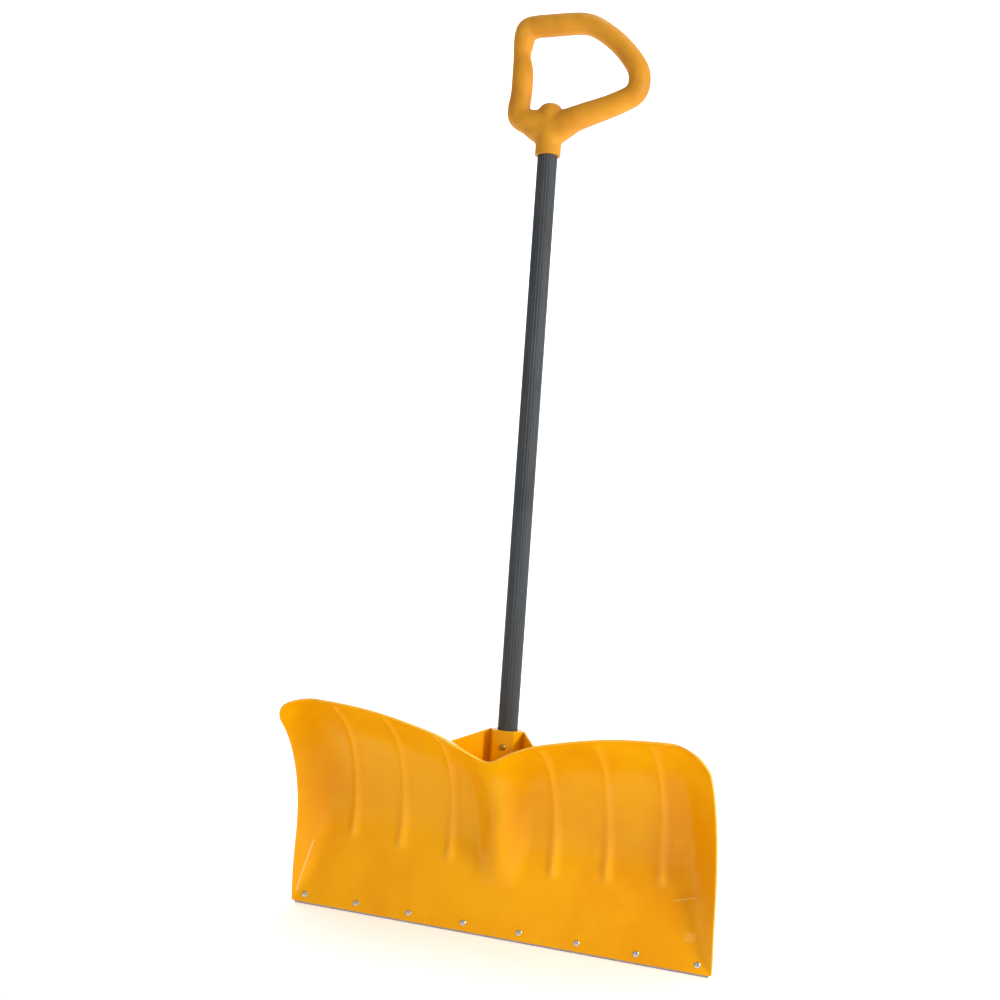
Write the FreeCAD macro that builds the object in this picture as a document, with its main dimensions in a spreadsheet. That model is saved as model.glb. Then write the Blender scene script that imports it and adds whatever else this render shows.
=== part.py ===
import FreeCAD, Part

import math
import os

import Sketcher

# A push-type snow shovel: a moulded curled blade with a riveted steel wear strip,
# a fluted shaft over a steel core, and an asymmetric loop grip.
# Millimetres. +Z runs up the shaft, the blade's hollow faces -Y, and the origin is
# the middle of the wear strip's lower edge.

SIZES = {
    # blade panel
    "blade_width": 610,  # across the two side edges at the bottom
    "blade_wall": 3,
    "flange_lean": 17,  # degrees that the flat lower flange leans back
    "flange_length": 96.5,
    "curl_radius": 170,  # of the curl over the outer ribs
    "curl_tighten": 32,  # how much smaller the curl is at the middle
    "curl_tighten_reach": 130,
    "lip_turn": 93,  # degrees of curl at the lip
    "lip_crown": 8,  # more degrees beside the notch
    "lip_crown_reach": 95,
    "lip_notch": 14,  # fewer degrees at the middle of the notch
    "lip_notch_reach": 30,
    "corner_reach": 62,  # of each rounded upper corner, across the blade
    "corner_drop": 95,  # and down its side
    "side_taper": 6,  # how much each side pulls in by the top
    # folded wings at the two sides
    "wing_width": 49,
    "wing_rise": 76,
    "wing_reach": 180,
    "crease_reach": 60,
    # raised ribs and the central ridge over the socket
    "rib_pitch": 76,
    "rib_width": 22,
    "rib_height": 5,
    "rib_start": 84,  # of the inner ribs; each further out starts a step higher
    "rib_start_step": 6,
    "rib_fade": 18,
    "rib_lip_gap": 16,
    "ridge_height": 33,
    "ridge_half_width": 42,
    "ridge_start": 65,
    "ridge_rise": 100,
    "ridge_lip_share": 0.5,
    "ridge_widening": 28,  # added to the half width by the lip
    # shaft
    "shaft_setback": 15,  # shaft axis behind the wear strip's lower edge
    "shaft_diameter": 28,
    "shaft_length": 956,
    "socket_rise": 33.7,  # of the socket's top above the lip at its notch
    "sleeve_wall": 1.7,
    "core_wall": 1.2,
    "bond_gap": 0.05,
    "flute_count": 22,
    "flute_depth": 0.5,
    "flute_round": 2.2,
    # shaft socket in the blade
    "socket_gap": 0.15,
    "socket_wall": 3,
    "socket_flat": 15,
    "socket_point": 24.6,
    "socket_depth": 108,
    "boss_depth": 86,
    "socket_floor": 6,
    "web_run_x": 38,
    "web_run_y": 60,
    "web_fall": 15,
    # wear strip and rivets
    "strip_height": 27,
    "strip_wall": 1.5,
    "strip_drop": 3.5,  # how far it stands below the plastic edge
    "strip_end_gap": 4,
    "rivet_count": 8,
    "rivet_inset": 20,
    "rivet_height": 11,  # above the plastic edge
    "rivet_radius": 2.4,
    "rivet_head_radius": 4.2,
    "rivet_head_height": 1.8,
    "rivet_tail_radius": 3.8,
    "rivet_tail_height": 1.2,
    # grip
    "grip_tube": 30,
    "grip_wall": 4,
    "grip_bore_depth": 48,
    "grip_gap": 0.15,
    "post_height": 48,
    "post_taper": 18,
    "post_top_radius": 12.5,
    "post_dome": 8,
    "loop_foot": 38,  # the loop's heights are above the collar's lower rim
    "loop_left_foot": 52,
    "loop_shoulder": 132,
    "loop_elbow": 79,
    "loop_top": 185,
    "loop_left": 49,  # the loop's reaches are from the shaft axis
    "loop_left_top": 45.5,
    "loop_crest": 50,
    "loop_right": 116,
    "loop_right_elbow": 127.5,
    "loop_inside": 3,  # inside radius of the three tight bends
    "loop_crest_corner": 45,
    "loop_right_corner": 70,
    # screws
    "screw_radius": 2.3,
    "screw_head_radius": 4.4,
    "screw_head_height": 2.6,
    "screw_length": 14,
    "screw_clearance": 0.3,
    "socket_screw_drop": 22,
    "grip_screw_rise": 16,
}

PANEL_STEP = 5.0  # spacing of the panel's section curves across its width
PANEL_ROWS = 32
CORNER_STEPS = 10
CORNER_SWEEP = math.radians(80)

doc = FreeCAD.newDocument("snow_shovel")
sheet = doc.addObject("Spreadsheet::Sheet", "sizes")
for row, (alias, number) in enumerate(SIZES.items(), start=1):
    sheet.set(f"A{row}", alias)
    sheet.set(f"B{row}", str(number))
    sheet.setAlias(f"B{row}", alias)
doc.recompute()


def size(alias):
    return float(sheet.get(alias))


def value(expression):
    """The number that an expression on the sheet gives now."""
    result = sheet.evalExpression(str(expression))
    return float(getattr(result, "Value", result))


def bind(thing, **expressions):
    for name, expression in expressions.items():
        thing.setExpression(name, str(expression))
    return thing


def place(thing, x="0", y="0", z="0"):
    """Bind where an unturned object stands."""
    thing.setExpression("Placement.Base.x", str(x))
    thing.setExpression("Placement.Base.y", str(y))
    thing.setExpression("Placement.Base.z", str(z))
    return thing


def turn_to(thing, axis, degrees):
    """Turn an object about an axis through its own origin."""
    spot = thing.Placement.Base
    thing.Placement = FreeCAD.Placement(spot, FreeCAD.Rotation(FreeCAD.Vector(*axis), degrees))
    return thing


def cylinder(name, radius, height):
    return bind(doc.addObject("Part::Cylinder", name), Radius=radius, Height=height)


def cap(name, radius, height):
    """A dome cut from a sphere, its flat side down."""
    dome = doc.addObject("Part::Sphere", name)
    ball = f"(({radius}) * ({radius}) + ({height}) * ({height})) / (2 * ({height}))"
    bind(dome, Radius=ball, Angle1=f"asin(1 - ({height}) / ({ball}))")
    dome.Angle2 = 90
    return dome


def cap_sink(radius, height):
    """How far a dome's sphere centre lies below its flat side."""
    return f"(({radius}) * ({radius}) - ({height}) * ({height})) / (2 * ({height}))"


def joined(name, pieces):
    fuse = doc.addObject("Part::MultiFuse", name)
    fuse.Shapes = pieces
    return fuse


def cut(name, base, tool):
    result = doc.addObject("Part::Cut", name)
    result.Base = base
    result.Tool = tool
    return result


def origin_plane(body, role):
    return next(plane for plane in body.Origin.OriginFeatures if plane.Role == role)


def polygon_sketch(body, name, role, corners):
    """A closed outline whose corners are bound to expressions on the sheet."""
    sketch = body.newObject("Sketcher::SketchObject", name)
    sketch.AttachmentSupport = (origin_plane(body, role), [""])
    sketch.MapMode = "FlatFace"
    spots = [FreeCAD.Vector(value(across), value(up), 0) for across, up in corners]
    last = len(spots) - 1
    for index, spot in enumerate(spots):
        after = spots[0] if index == last else spots[index + 1]
        sketch.addGeometry(Part.LineSegment(spot, after))
    for index in range(len(spots)):
        after = 0 if index == last else index + 1
        sketch.addConstraint(Sketcher.Constraint("Coincident", index, 2, after, 1))
    for index, (corner, spot) in enumerate(zip(corners, spots)):
        for kind, expression, number in (
            ("DistanceX", corner[0], spot.x),
            ("DistanceY", corner[1], spot.y),
        ):
            made = sketch.addConstraint(Sketcher.Constraint(kind, -1, 1, index, 1, number))
            sketch.setExpression(f"Constraints[{made}]", str(expression))
    return sketch


def ring_sketch(body, name, outer, inner):
    """Two circles about the body's own Z axis, bound to the sheet."""
    sketch = body.newObject("Sketcher::SketchObject", name)
    sketch.AttachmentSupport = (origin_plane(body, "XY_Plane"), [""])
    sketch.MapMode = "FlatFace"
    for index, radius in enumerate((outer, inner)):
        circle = Part.Circle(FreeCAD.Vector(0, 0, 0), FreeCAD.Vector(0, 0, 1), value(radius))
        sketch.addGeometry(circle)
        sketch.addConstraint(Sketcher.Constraint("Coincident", index, 3, -1, 1))
        made = sketch.addConstraint(Sketcher.Constraint("Radius", index, value(radius)))
        sketch.setExpression(f"Constraints[{made}]", radius)
    return sketch


# ---------------------------------------------------------------- blade panel
# The panel is a flat flange that leans back and then curls forward. A point on its
# front face has a width x and a length s along the section, from the lower edge.


def edge_front_y():
    """Y of the panel's front face at its lower edge: the strip lies behind the panel."""
    lean = math.radians(size("flange_lean"))
    strip_middle = size("blade_wall") + size("strip_wall") / 2
    return size("strip_drop") * math.tan(lean) - strip_middle / math.cos(lean)


def curl_radius(x):
    tighten = size("curl_tighten") * math.exp(-((x / size("curl_tighten_reach")) ** 2))
    return size("curl_radius") - tighten


def section(x, s):
    """The plain section: (y, z) and the unit direction into the hollow."""
    lean = math.radians(size("flange_lean"))
    flange = size("flange_length")
    straight = min(s, flange)
    y = edge_front_y() + straight * math.sin(lean)
    z = size("strip_drop") + straight * math.cos(lean)
    tilt = -lean
    if s > flange:
        radius = curl_radius(x)
        tilt = (s - flange) / radius - lean
        y += radius * (math.cos(tilt) - math.cos(lean))
        z += radius * (math.sin(tilt) + math.sin(lean))
    return y, z, -math.cos(tilt), -math.sin(tilt)


def lip_length(x):
    """Section length at the lip, with the notch at the middle and the round corners."""
    turn = size("lip_turn")
    turn += size("lip_crown") * math.exp(-((x / size("lip_crown_reach")) ** 2))
    turn -= size("lip_notch") * math.exp(-((x / size("lip_notch_reach")) ** 2))
    length = size("flange_length") + curl_radius(x) * math.radians(turn)
    reach = size("corner_reach")
    into_corner = abs(x) - (size("blade_width") / 2 - reach)
    if into_corner > 0:
        length -= size("corner_drop") * (1 - math.sqrt(max(1 - (into_corner / reach) ** 2, 0)))
    return length


def ease(share):
    share = min(max(share, 0.0), 1.0)
    return share * share * (3 - 2 * share)


def bump(distance, half_width):
    if abs(distance) >= half_width:
        return 0.0
    return math.cos(math.pi * distance / half_width / 2) ** 2


def ribs(x, s):
    """Height of the raised ribs, three on each side, faded out at both ends."""
    height = 0.0
    for order in (1, 2, 3):
        start = size("rib_start") + size("rib_start_step") * (order - 1)
        fade_in = ease((s - start) / size("rib_fade"))
        height += fade_in * bump(abs(x) - size("rib_pitch") * order, size("rib_width") / 2)
    fade_out = ease((lip_length(x) - size("rib_lip_gap") - s) / size("rib_fade"))
    return size("rib_height") * height * fade_out


def ridge(x, s):
    """Height of the central ridge, which widens the hollow behind it for the shaft."""
    rise = size("ridge_rise")
    along = s - size("ridge_start")
    if along <= 0:
        return 0.0
    if along < rise:
        share = math.sin(math.pi / 2 * along / rise)
    else:
        reach = lip_length(0) - size("ridge_start") - rise
        share = 1 - (1 - size("ridge_lip_share")) * (along - rise) / reach
    half_width = size("ridge_half_width") + size("ridge_widening") * (s / lip_length(0)) ** 3
    return size("ridge_height") * share * bump(x, half_width)


def wing(x, s):
    """How far the side wings fold forward, past a crease from the lower corner."""
    width = size("wing_width") * (1 - math.exp(-s / size("crease_reach"))) + 0.5
    along = (abs(x) - size("blade_width") / 2 + width) / width
    if along <= 0:
        return 0.0
    softness = 0.35
    share = along * along / (along + softness) * (1 + softness)
    return size("wing_rise") * (1 - math.exp(-s / size("wing_reach"))) * share


def front_point(x, s):
    y, z, inward_y, inward_z = section(x, s)
    height = ribs(x, s) + ridge(x, s)
    y -= wing(x, s)
    pull = size("side_taper") * (max(s, 0) / lip_length(0)) ** 1.2
    side_scale = 1 - 2 * pull / size("blade_width")
    return FreeCAD.Vector(x * side_scale, y + inward_y * height, z + inward_z * height)


def behind_point(x, s, depth):
    """The point at a depth behind the front face, square to it."""
    step = 0.5
    across = front_point(x + step, s) - front_point(x - step, s)
    along = front_point(x, s + step) - front_point(x, s - step)
    out = across.cross(along).normalize()
    return front_point(x, s) - out * depth


def section_widths():
    """The x of each section curve: evenly spaced, then closing up round the corners."""
    straight = size("blade_width") / 2 - size("corner_reach")
    count = 2 * round(straight / PANEL_STEP)
    middle = [straight * (2 * index / count - 1) for index in range(count + 1)]
    corner = []
    for index in range(1, CORNER_STEPS + 1):
        sweep = CORNER_SWEEP * index / CORNER_STEPS
        corner.append(straight + size("corner_reach") * math.sin(sweep))
    return [-x for x in reversed(corner)] + middle + corner


def panel_surface(depth):
    grid = []
    for x in section_widths():
        lip = lip_length(x)
        shares = [row / (PANEL_ROWS - 1) for row in range(PANEL_ROWS)]
        grid.append([behind_point(x, lip * share, depth) for share in shares])
    surface = Part.BSplineSurface()
    surface.interpolate(grid)
    return surface


def rim(front, back, direction, at):
    """The strip of face that joins the two faces along one of their edges."""
    first = getattr(front, direction)(at).toShape()
    second = getattr(back, direction)(at).toShape()
    return Part.makeRuledSurface(first, second)


def panel_shape():
    front = panel_surface(0.0)
    back = panel_surface(size("blade_wall"))
    faces = [front.toShape(), back.toShape()]
    first_u, last_u, first_v, last_v = front.bounds()
    for direction, ends in (("uIso", (first_u, last_u)), ("vIso", (first_v, last_v))):
        for at in ends:
            faces.append(rim(front, back, direction, at))
    shell = Part.Shell(faces)
    shell.sewShape()
    solid = Part.Solid(shell)
    if solid.Volume < 0:
        solid.reverse()
    return solid


def space_behind_panel():
    """Everything behind the middle of the panel's wall, to trim what grows out of it."""
    middle = panel_surface(size("blade_wall") / 2).toShape()
    clear_of_top = 4  # mm that the slope from the lip passes above the socket
    reach = 260
    lip = front_point(0, lip_length(0))
    run = size("shaft_setback") - value(SOCKET_SKIN) - lip.y
    slope = FreeCAD.Vector(0, run, size("socket_rise") + clear_of_top).normalize()
    return middle.extrude(slope * reach)


def rivet_places():
    """Where each rivet's head sits on the flange, turned square to it."""
    lean = size("flange_lean")
    y, z = section(0, size("rivet_height"))[:2]
    first = size("rivet_inset") - size("blade_width") / 2
    pitch = -2 * first / (size("rivet_count") - 1)
    square = FreeCAD.Rotation(FreeCAD.Vector(1, 0, 0), 90 - lean)
    for index in range(round(size("rivet_count"))):
        yield FreeCAD.Placement(FreeCAD.Vector(first + pitch * index, y, z), square)


def rivet_row(name, form):
    """One piece repeated at every rivet, as a group of separate solids."""
    row = doc.addObject("Part::Feature", name)
    row.Shape = Part.makeCompound([form.Shape.transformed(at.Matrix) for at in rivet_places()])
    return row


WALLS = "(sizes.blade_wall + sizes.strip_wall)"
SHAFT_RADIUS = "sizes.shaft_diameter / 2"
SOCKET_TOP = "(sizes.lip_height + sizes.socket_rise)"
SHAFT_BOTTOM = f"({SOCKET_TOP} - sizes.socket_depth)"
SHAFT_TOP = f"({SHAFT_BOTTOM} + sizes.shaft_length)"
SOCKET_SKIN = f"({SHAFT_RADIUS} + sizes.socket_gap + sizes.socket_wall)"
BOSS_FOOT = f"({SOCKET_TOP} - sizes.boss_depth)"
COLLAR_FOOT = f"({SHAFT_TOP} - sizes.grip_bore_depth)"
COLLAR_SKIN = f"({SHAFT_RADIUS} + sizes.grip_gap + sizes.grip_wall)"
SCREW_HOLE = "sizes.screw_radius + sizes.screw_clearance"


# ------------------------------------------------------------- rivets and strip
def make_rivets():
    shank = place(cylinder("rivet_shank", "sizes.rivet_radius", WALLS), z=f"-{WALLS}")
    head_sizes = ("sizes.rivet_head_radius", "sizes.rivet_head_height")
    head = place(cap("rivet_head", *head_sizes), z=f"-{cap_sink(*head_sizes)}")
    tail = cylinder("rivet_tail", "sizes.rivet_tail_radius", "sizes.rivet_tail_height")
    place(tail, z=f"-{WALLS} - sizes.rivet_tail_height")
    form = joined("rivet_form", [shank, head, tail])
    doc.recompute()
    return rivet_row("strip_rivets", form)


def make_rivet_holes():
    hole = cylinder("rivet_hole", "sizes.rivet_radius", f"{WALLS} + 2")
    place(hole, z=f"-{WALLS} - 1")
    doc.recompute()
    return rivet_row("rivet_holes", hole)


def make_wear_strip(holes):
    """A leaning flat strip whose lower edge is ground level with the floor."""
    body = doc.addObject("PartDesign::Body", "strip_plate")
    half = "sizes.strip_wall / 2 / cos(sizes.flange_lean)"
    over = "sizes.strip_height * sin(sizes.flange_lean)"
    high = "sizes.strip_height * cos(sizes.flange_lean)"
    corners = [
        (f"-{half}", "0"),
        (half, "0"),
        (f"{over} + {half}", high),
        (f"{over} - {half}", high),
    ]
    sketch = polygon_sketch(body, "strip_section", "YZ_Plane", corners)
    pad = body.newObject("PartDesign::Pad", "strip_pad")
    pad.Profile = (sketch, [""])
    pad.SideType = "Symmetric"
    bind(pad, Length="sizes.blade_width - 2 * sizes.strip_end_gap")
    doc.recompute()
    return cut("wear_strip", body, holes)


# ------------------------------------------------------------------ shaft socket
def make_boss():
    """The six-sided boss behind the lip, with a round foot below it."""
    body = doc.addObject("PartDesign::Body", "socket_boss")
    flat, point = "sizes.socket_flat", "sizes.socket_point"
    corners = [
        (f"-{flat}", f"-{SOCKET_SKIN}"),
        (flat, f"-{SOCKET_SKIN}"),
        (point, "0"),
        (flat, SOCKET_SKIN),
        (f"-{flat}", SOCKET_SKIN),
        (f"-{point}", "0"),
    ]
    sketch = polygon_sketch(body, "boss_outline", "XY_Plane", corners)
    pad = body.newObject("PartDesign::Pad", "boss_pad")
    pad.Profile = (sketch, [""])
    bind(pad, Length="sizes.boss_depth")
    place(body, y="sizes.shaft_setback", z=BOSS_FOOT)
    foot = cylinder("boss_foot", SOCKET_SKIN, f"sizes.socket_floor + {BOSS_FOOT} - {SHAFT_BOTTOM}")
    place(foot, y="sizes.shaft_setback", z=f"{SHAFT_BOTTOM} - sizes.socket_floor")
    return [body, foot]


def make_web(name, side):
    """An upright wall from the boss's side point to the back of the lip."""
    web = doc.addObject("Part::Wedge", name)
    half = "sizes.blade_wall / 2"
    run = "sqrt(sizes.web_run_x ^ 2 + sizes.web_run_y ^ 2)"
    bind(web, Xmin=f"-{half}", Xmax=half, X2min=f"-{half}", X2max=half)
    bind(web, Ymin="-sizes.blade_wall", Ymax=run)
    bind(web, Zmin=BOSS_FOOT, Z2min=BOSS_FOOT)
    bind(web, Zmax=SOCKET_TOP, Z2max=f"{SOCKET_TOP} - sizes.web_fall")
    place(web, x=f"{side} * sizes.socket_point", y="sizes.shaft_setback")
    turn = f"180 deg + {side} * atan(sizes.web_run_x / sizes.web_run_y)"
    web.setExpression("Placement.Rotation.Angle", turn)
    return web


def screw_hole(name, radius, side, height):
    """A hole square to the shaft, from its axis out past the front or the back."""
    hole = cylinder(name, radius, "sizes.shaft_diameter")
    turn_to(hole, (1, 0, 0), -90 * side)
    return place(hole, y="sizes.shaft_setback", z=height)


def make_blade(holes, screw_height):
    panel = doc.addObject("Part::Feature", "blade_panel")
    panel.Shape = panel_shape()
    behind = doc.addObject("Part::Feature", "space_behind_panel")
    behind.Shape = space_behind_panel()
    webs = [make_web("web_left", -1), make_web("web_right", 1)]
    grown = doc.addObject("Part::MultiCommon", "socket_behind_panel")
    grown.Shapes = [joined("socket_walls", make_boss() + webs), behind]
    bore = cylinder("socket_bore", f"{SHAFT_RADIUS} + sizes.socket_gap", "sizes.socket_depth + 1")
    place(bore, y="sizes.shaft_setback", z=SHAFT_BOTTOM)
    screw = screw_hole("socket_screw_hole", SCREW_HOLE, -1, screw_height)
    whole = joined("blade_uncut", [panel, grown])
    return cut("blade", whole, joined("blade_holes", [bore, screw, holes]))


# ------------------------------------------------------------------------- shaft
def make_sleeve(screw_heights):
    """The outer tube, with shallow flutes all round."""
    body = doc.addObject("PartDesign::Body", "sleeve_tube")
    inner = f"{SHAFT_RADIUS} - sizes.sleeve_wall"
    ring = ring_sketch(body, "sleeve_ring", SHAFT_RADIUS, inner)
    pad = body.newObject("PartDesign::Pad", "sleeve_pad")
    pad.Profile = (ring, [""])
    bind(pad, Length="sizes.shaft_length")
    doc.recompute()
    groove = body.newObject("Sketcher::SketchObject", "flute_section")
    groove.AttachmentSupport = (origin_plane(body, "XY_Plane"), [""])
    groove.MapMode = "FlatFace"
    out = f"{SHAFT_RADIUS} + sizes.flute_round - sizes.flute_depth"
    round_cut = Part.Circle(FreeCAD.Vector(value(out), 0, 0), FreeCAD.Vector(0, 0, 1), size("flute_round"))
    groove.addGeometry(round_cut)
    groove.addConstraint(Sketcher.Constraint("PointOnObject", 0, 3, -1))
    made = groove.addConstraint(Sketcher.Constraint("DistanceX", -1, 1, 0, 3, value(out)))
    groove.setExpression(f"Constraints[{made}]", out)
    made = groove.addConstraint(Sketcher.Constraint("Radius", 0, size("flute_round")))
    groove.setExpression(f"Constraints[{made}]", "sizes.flute_round")
    flute = body.newObject("PartDesign::Pocket", "flute_cut")
    flute.Profile = (groove, [""])
    flute.Reversed = True
    bind(flute, Length="sizes.shaft_length")
    doc.recompute()
    flutes = body.newObject("PartDesign::PolarPattern", "flutes")
    flutes.Originals = [flute]
    flutes.Axis = (groove, ["N_Axis"])
    flutes.Angle = 360
    bind(flutes, Occurrences="sizes.flute_count")
    body.Tip = flutes
    place(body, y="sizes.shaft_setback", z=SHAFT_BOTTOM)
    return cut("shaft_sleeve", body, shaft_holes("sleeve_holes", SCREW_HOLE, screw_heights))


def shaft_holes(name, radius, screw_heights):
    holes = []
    for index, (side, height) in enumerate(screw_heights):
        holes.append(screw_hole(f"{name}_{index}", radius, side, height))
    return joined(name, holes)


def make_core(screw_heights):
    body = doc.addObject("PartDesign::Body", "core_tube")
    outer = f"{SHAFT_RADIUS} - sizes.sleeve_wall - sizes.bond_gap"
    ring = ring_sketch(body, "core_ring", outer, f"{outer} - sizes.core_wall")
    pad = body.newObject("PartDesign::Pad", "core_pad")
    pad.Profile = (ring, [""])
    bind(pad, Length="sizes.shaft_length")
    place(body, y="sizes.shaft_setback", z=SHAFT_BOTTOM)
    return cut("shaft_core", body, shaft_holes("core_holes", "sizes.screw_radius", screw_heights))


def make_screw(name, side, surface, height):
    """A round-headed screw: its head on a surface this far out from the shaft axis."""
    shank = cylinder(f"{name}_shank", "sizes.screw_radius", "sizes.screw_length")
    turn_to(shank, (1, 0, 0), -90 * side)
    out = f"sizes.shaft_setback + {side} * ({surface} - sizes.screw_length)"
    place(shank, y=out, z=height)
    head_sizes = ("sizes.screw_head_radius", "sizes.screw_head_height")
    head = cap(f"{name}_head", *head_sizes)
    turn_to(head, (1, 0, 0), -90 * side)
    centre = f"sizes.shaft_setback + {side} * ({surface} - {cap_sink(*head_sizes)})"
    place(head, y=centre, z=height)
    return joined(name, [shank, head])


# -------------------------------------------------------------------------- grip
def loop_corners():
    """The loop's middle line as (x, height above the collar, corner radius)."""
    overlap = 4  # the two feet run past the shaft axis, inside the post
    tight = size("loop_inside") + size("grip_tube") / 2
    return [
        (overlap, size("loop_foot") + 6, 0),
        (-size("loop_left"), size("loop_left_foot"), tight),
        (-size("loop_left_top"), size("loop_top") - 1, tight),
        (size("loop_crest"), size("loop_top"), size("loop_crest_corner")),
        (size("loop_right"), size("loop_shoulder"), size("loop_right_corner")),
        (size("loop_right_elbow"), size("loop_elbow"), tight),
        (-overlap, size("loop_foot"), 0),
    ]


def loop_path():
    """Straight runs joined by tangent arcs, in the upright plane through the shaft."""
    lift = value(COLLAR_FOOT)
    setback = size("shaft_setback")
    corners = [(FreeCAD.Vector(x, setback, lift + z), radius) for x, z, radius in loop_corners()]
    edges = []
    here = corners[0][0]
    for index in range(1, len(corners) - 1):
        corner, radius = corners[index]
        before = (corners[index - 1][0] - corner).normalize()
        after = (corners[index + 1][0] - corner).normalize()
        half_angle = before.getAngle(after) / 2
        reach = radius / math.tan(half_angle)
        start = corner + before * reach
        end = corner + after * reach
        middle = (before + after).normalize()
        nearest = corner + middle * (radius / math.sin(half_angle) - radius)
        edges.append(Part.LineSegment(here, start).toShape())
        edges.append(Part.Arc(start, nearest, end).toShape())
        here = end
    edges.append(Part.LineSegment(here, corners[-1][0]).toShape())
    return Part.Wire(edges)


def make_grip(screw_height):
    path = doc.addObject("Part::Feature", "loop_path")
    path.Shape = loop_path()
    first = path.Shape.Edges[0]
    ring = bind(doc.addObject("Part::Circle", "loop_ring"), Radius="sizes.grip_tube / 2")
    along = first.tangentAt(first.FirstParameter)
    ring.Placement = FreeCAD.Placement(
        first.valueAt(first.FirstParameter), FreeCAD.Rotation(FreeCAD.Vector(0, 0, 1), along)
    )
    loop = doc.addObject("Part::Sweep", "loop_tube")
    loop.Sections = [ring]
    loop.Spine = (path, [f"Edge{number}" for number in range(1, len(path.Shape.Edges) + 1)])
    loop.Solid = True
    post = cylinder("post", COLLAR_SKIN, "sizes.post_height")
    place(post, y="sizes.shaft_setback", z=COLLAR_FOOT)
    taper = doc.addObject("Part::Cone", "post_taper")
    bind(taper, Radius1=COLLAR_SKIN, Radius2="sizes.post_top_radius", Height="sizes.post_taper")
    taper_foot = f"{COLLAR_FOOT} + sizes.post_height"
    place(taper, y="sizes.shaft_setback", z=taper_foot)
    dome_sizes = ("sizes.post_top_radius", "sizes.post_dome")
    dome = cap("post_dome", *dome_sizes)
    dome_z = f"{taper_foot} + sizes.post_taper - {cap_sink(*dome_sizes)}"
    place(dome, y="sizes.shaft_setback", z=dome_z)
    bore = cylinder("grip_bore", f"{SHAFT_RADIUS} + sizes.grip_gap", "sizes.grip_bore_depth")
    place(bore, y="sizes.shaft_setback", z=COLLAR_FOOT)
    screw = screw_hole("grip_screw_hole", SCREW_HOLE, 1, screw_height)
    whole = joined("grip_uncut", [loop, post, taper, dome])
    return cut("grip", whole, joined("grip_holes", [bore, screw]))


def make_shovel():
    socket_screw_height = f"{SOCKET_TOP} - sizes.socket_screw_drop"
    grip_screw_height = f"{COLLAR_FOOT} + sizes.grip_screw_rise"
    screw_heights = [(-1, socket_screw_height), (1, grip_screw_height)]
    holes = make_rivet_holes()
    return [
        make_blade(holes, socket_screw_height),
        make_wear_strip(holes),
        make_rivets(),
        make_sleeve(screw_heights),
        make_core(screw_heights),
        make_grip(grip_screw_height),
        make_screw("socket_screw", -1, SOCKET_SKIN, socket_screw_height),
        make_screw("grip_screw", 1, COLLAR_SKIN, grip_screw_height),
    ]


lip_row = len(SIZES) + 1
sheet.set(f"A{lip_row}", "lip_height")
sheet.set(f"B{lip_row}", str(front_point(0, lip_length(0)).z))
sheet.setAlias(f"B{lip_row}", "lip_height")
doc.recompute()

nodes = make_shovel()
doc.recompute()
for thing in doc.Objects:
    if "Invalid" in thing.State or "Error" in thing.State:
        raise RuntimeError(f"{thing.Label} failed: {thing.State}")
for node in nodes:
    if node.Shape.isNull() or not node.Shape.isValid():
        raise RuntimeError(f"{node.Label} has no valid shape")

os.makedirs("parts", exist_ok=True)
for node in nodes:
    node.Shape.exportStep(f"parts/{node.Label}.step")
    box = node.Shape.BoundBox
    spans = f"{box.XLength:.1f} x {box.YLength:.1f} x {box.ZLength:.1f}"
    print(f"{node.Label}: {len(node.Shape.Solids)} solids, {spans} mm, {node.Shape.Volume:.0f} mm3")
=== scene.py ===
# %% [markdown]
# # A push-type snow shovel
# The imported CAD model is loaded first and never changes. Every piece made here sits in its
# frame: metres, +Z up the shaft, the blade's hollow facing -Y.

import bmesh
import bpy
import math
from mathutils import Matrix, Vector, kdtree


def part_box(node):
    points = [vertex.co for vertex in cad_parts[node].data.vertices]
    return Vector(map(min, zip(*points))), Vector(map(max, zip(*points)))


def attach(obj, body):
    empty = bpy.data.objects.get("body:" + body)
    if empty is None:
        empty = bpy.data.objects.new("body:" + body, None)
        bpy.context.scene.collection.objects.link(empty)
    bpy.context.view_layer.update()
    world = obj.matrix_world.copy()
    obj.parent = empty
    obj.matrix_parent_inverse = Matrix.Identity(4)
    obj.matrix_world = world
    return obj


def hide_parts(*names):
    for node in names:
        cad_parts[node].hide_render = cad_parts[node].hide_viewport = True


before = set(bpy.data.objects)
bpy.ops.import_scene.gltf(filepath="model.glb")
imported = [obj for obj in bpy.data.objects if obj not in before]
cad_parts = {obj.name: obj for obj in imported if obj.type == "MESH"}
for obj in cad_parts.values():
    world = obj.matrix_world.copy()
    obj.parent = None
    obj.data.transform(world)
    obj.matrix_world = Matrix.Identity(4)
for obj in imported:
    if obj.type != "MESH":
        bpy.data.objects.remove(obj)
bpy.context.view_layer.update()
print("CAD nodes:", sorted(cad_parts))

MM = 0.001
AXIS_Y = (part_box("shaft_sleeve")[0].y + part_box("shaft_sleeve")[1].y) / 2
SHAFT_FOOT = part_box("shaft_sleeve")[0].z
SHAFT_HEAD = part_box("shaft_sleeve")[1].z
print("shaft axis at y", round(AXIS_Y, 4), "from z", round(SHAFT_FOOT, 4), "to", round(SHAFT_HEAD, 4))

# %% [markdown]
# ## A few hand tools
# Each operator acts on whatever is selected, so every step starts by selecting one object only.
# A modifier is added, set and applied in one call, so that the finished mesh holds the shape.


# %% Hand tools
def only(piece):
    """Select one object and nothing else, in object mode."""
    if bpy.context.object and bpy.context.object.mode != "OBJECT":
        bpy.ops.object.mode_set(mode="OBJECT")
    bpy.ops.object.select_all(action="DESELECT")
    piece.select_set(True)
    bpy.context.view_layer.objects.active = piece
    return piece


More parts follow.
